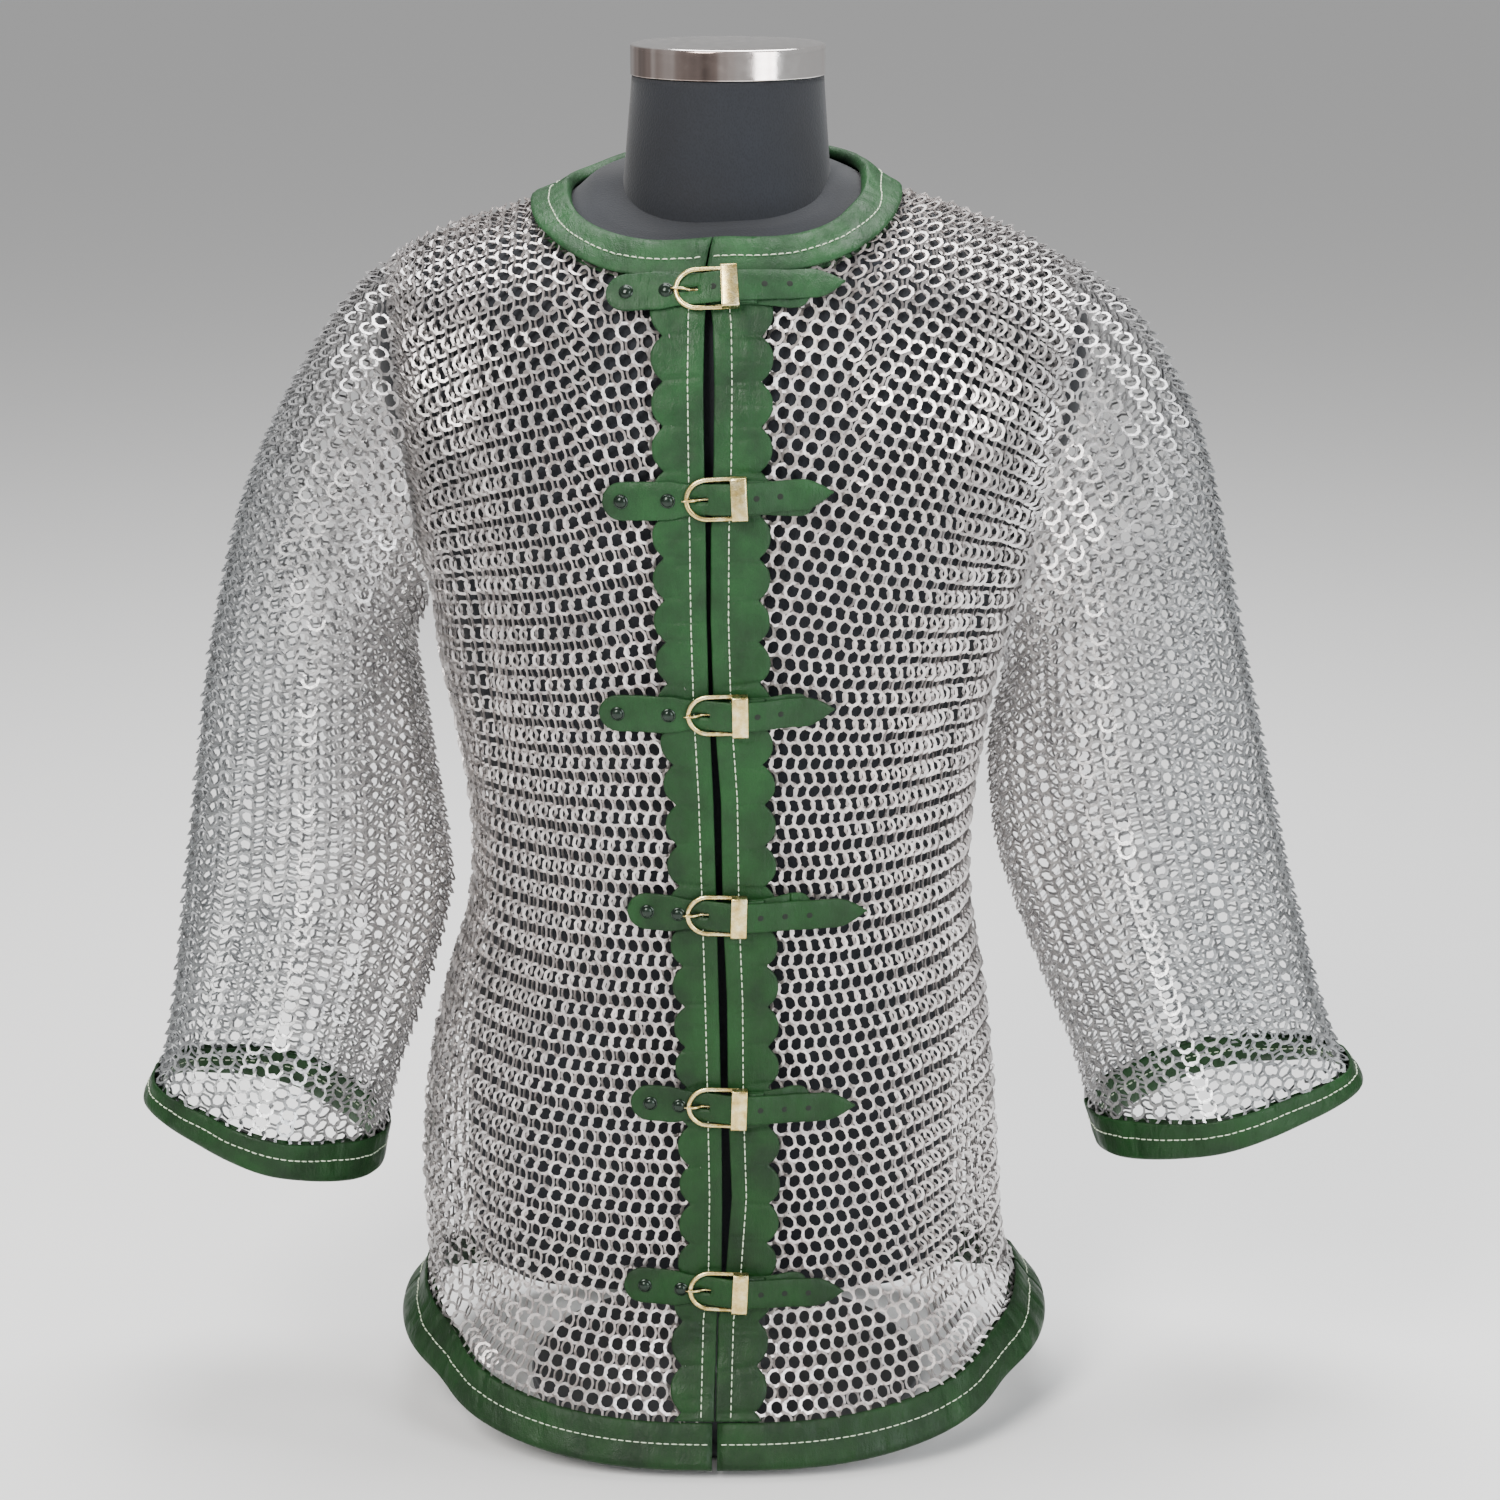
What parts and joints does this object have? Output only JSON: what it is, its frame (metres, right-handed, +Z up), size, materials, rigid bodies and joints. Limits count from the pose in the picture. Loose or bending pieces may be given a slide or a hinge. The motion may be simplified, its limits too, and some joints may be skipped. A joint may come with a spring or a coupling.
{
  "type": "chainmail hauberk on a limbless dress form",
  "caption": "Short-sleeved mail shirt with an open front held by buckled leather straps and leather-bound edges, worn by a limbless dress form on a round stand.",
  "frame": {"origin": "middle of the flat face under the stand, below the dress form's neck", "axes": "+Z up; the front, with the straps, faces -Y; +X is towards the wearer's left sleeve"},
  "size_m": [0.8543, 0.34, 0.9445],
  "materials": {
    "mail": "flat rings, satin",
    "leather": "green, soft sheen",
    "brass": "pale, polished",
    "rivet": "glossy",
    "form_cloth": "charcoal, matt",
    "chrome": "polished",
    "stand_paint": "satin"
  },
  "bodies": {
    "root": {"mail_front_right": "mail", "mail_front_left": "mail", "mail_back": "mail", "mail_sleeve_right": "mail", "mail_sleeve_left": "mail", "collar": "leather", "hem_band_right": "leather", "hem_band_left": "leather", "hem_band_back": "leather", "cuff_band_right": "leather", "cuff_band_left": "leather", "front_band_right": "leather", "front_band_left": "leather", "form_torso": "form_cloth", "form_neck_cap": "chrome", "stand": "stand_paint", "strap_right_1": "leather", "strap_left_1": "leather", "buckle_1": "brass", "prong_1": "brass", "rivet_1_outer": "rivet", "rivet_1_inner": "rivet", "strap_right_2": "leather", "strap_left_2": "leather", "buckle_2": "brass", "prong_2": "brass", "rivet_2_outer": "rivet", "rivet_2_inner": "rivet", "strap_right_3": "leather", "strap_left_3": "leather", "buckle_3": "brass", "prong_3": "brass", "rivet_3_outer": "rivet", "rivet_3_inner": "rivet", "strap_right_4": "leather", "strap_left_4": "leather", "buckle_4": "brass", "prong_4": "brass", "rivet_4_outer": "rivet", "rivet_4_inner": "rivet", "strap_right_5": "leather", "strap_left_5": "leather", "buckle_5": "brass", "prong_5": "brass", "rivet_5_outer": "rivet", "rivet_5_inner": "rivet", "strap_right_6": "leather", "strap_left_6": "leather", "buckle_6": "brass", "prong_6": "brass", "rivet_6_outer": "rivet", "rivet_6_inner": "rivet"}
  },
  "joints": []
}
